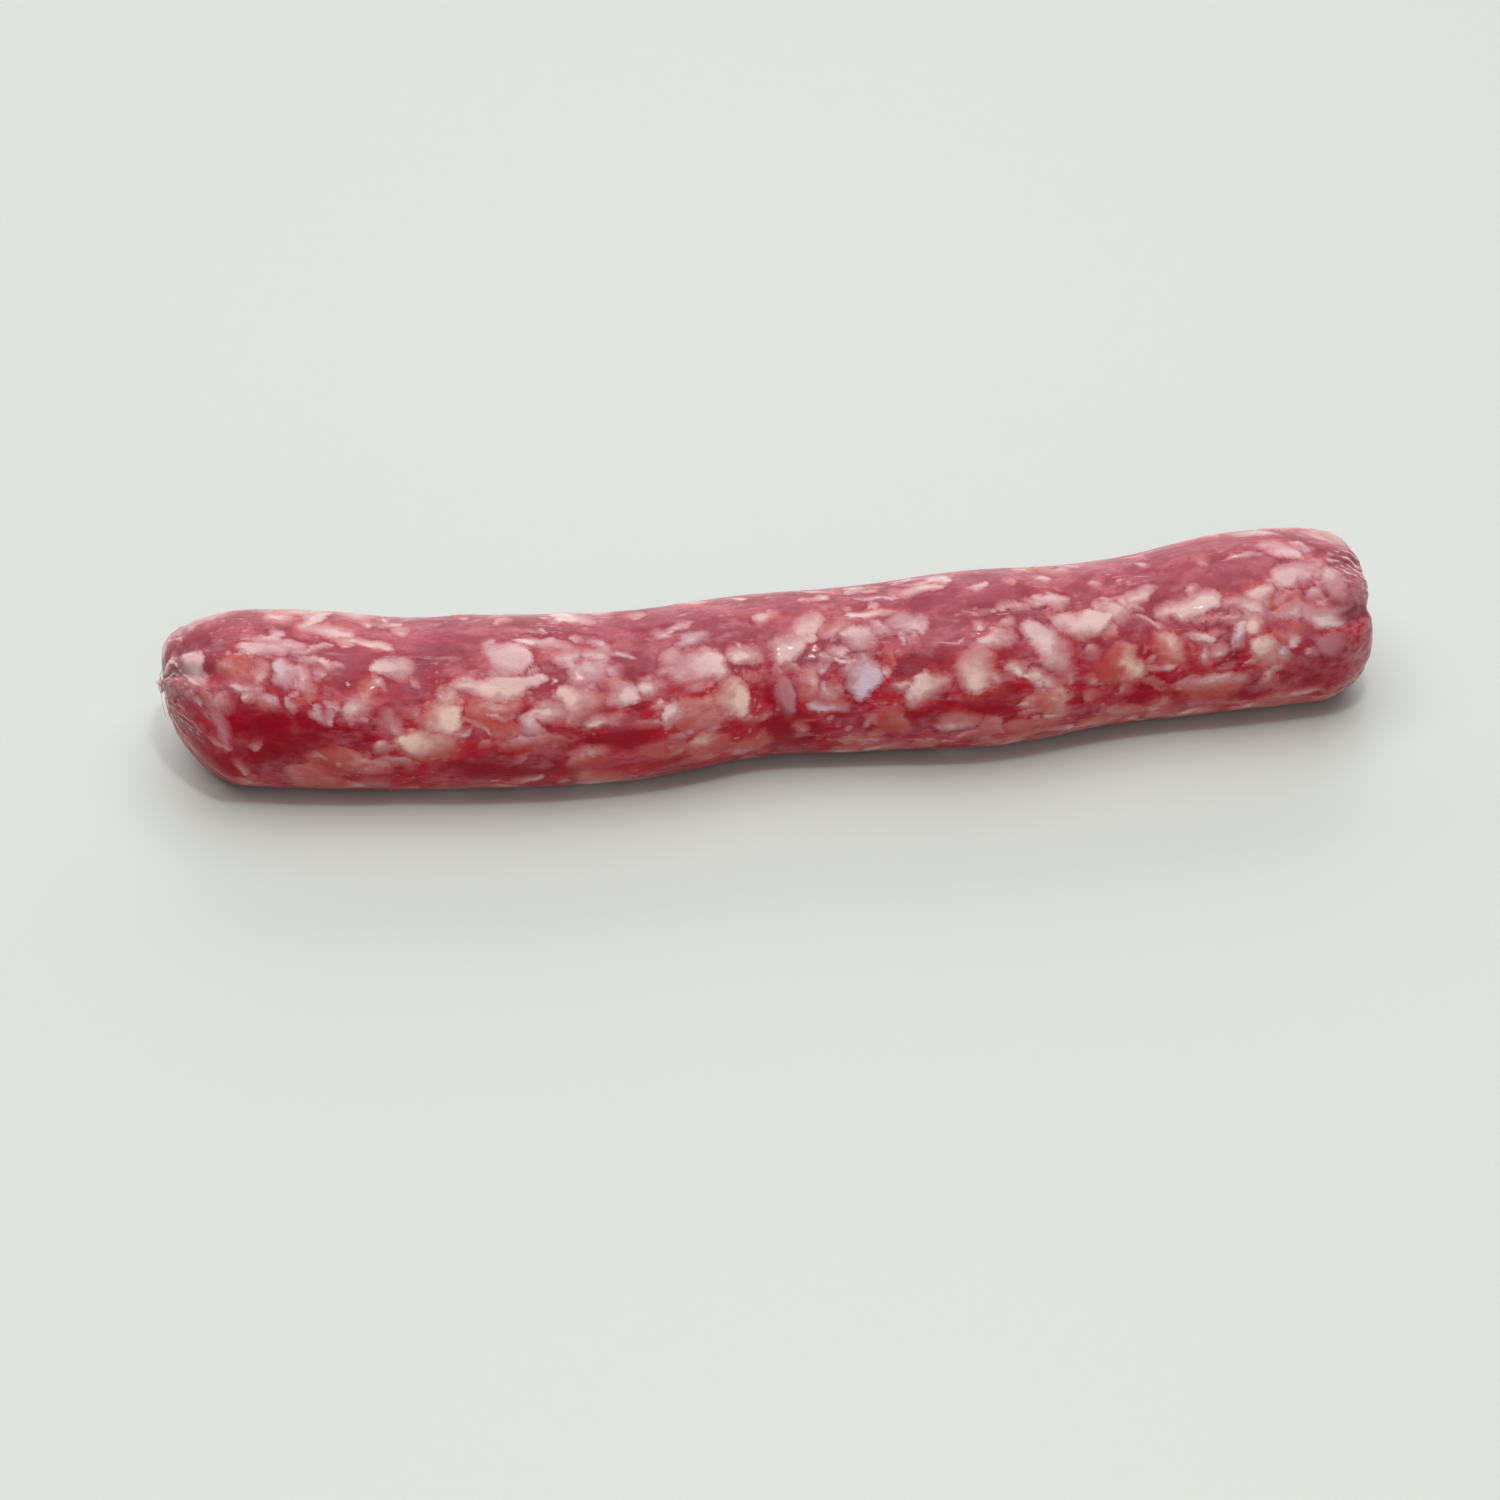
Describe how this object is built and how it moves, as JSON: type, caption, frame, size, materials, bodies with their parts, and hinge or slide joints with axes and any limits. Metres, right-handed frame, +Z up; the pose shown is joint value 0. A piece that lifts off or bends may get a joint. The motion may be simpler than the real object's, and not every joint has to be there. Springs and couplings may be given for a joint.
{
  "type": "raw pork sausage",
  "caption": "Fresh raw pork sausage: coarse lean and fat in a clear natural casing, gently bowed, with puckered ends, lying on its side.",
  "frame": {"origin": "middle of the box round the sausage, on the surface it rests on", "axes": "+X along the sausage towards its blunt end, +Y towards the hollow side of its bow, +Z up"},
  "size_m": [0.213, 0.0396, 0.0291],
  "materials": {
    "raw_meat": "gloss"
  },
  "bodies": {
    "root": {"sausage": "raw_meat"}
  },
  "joints": []
}
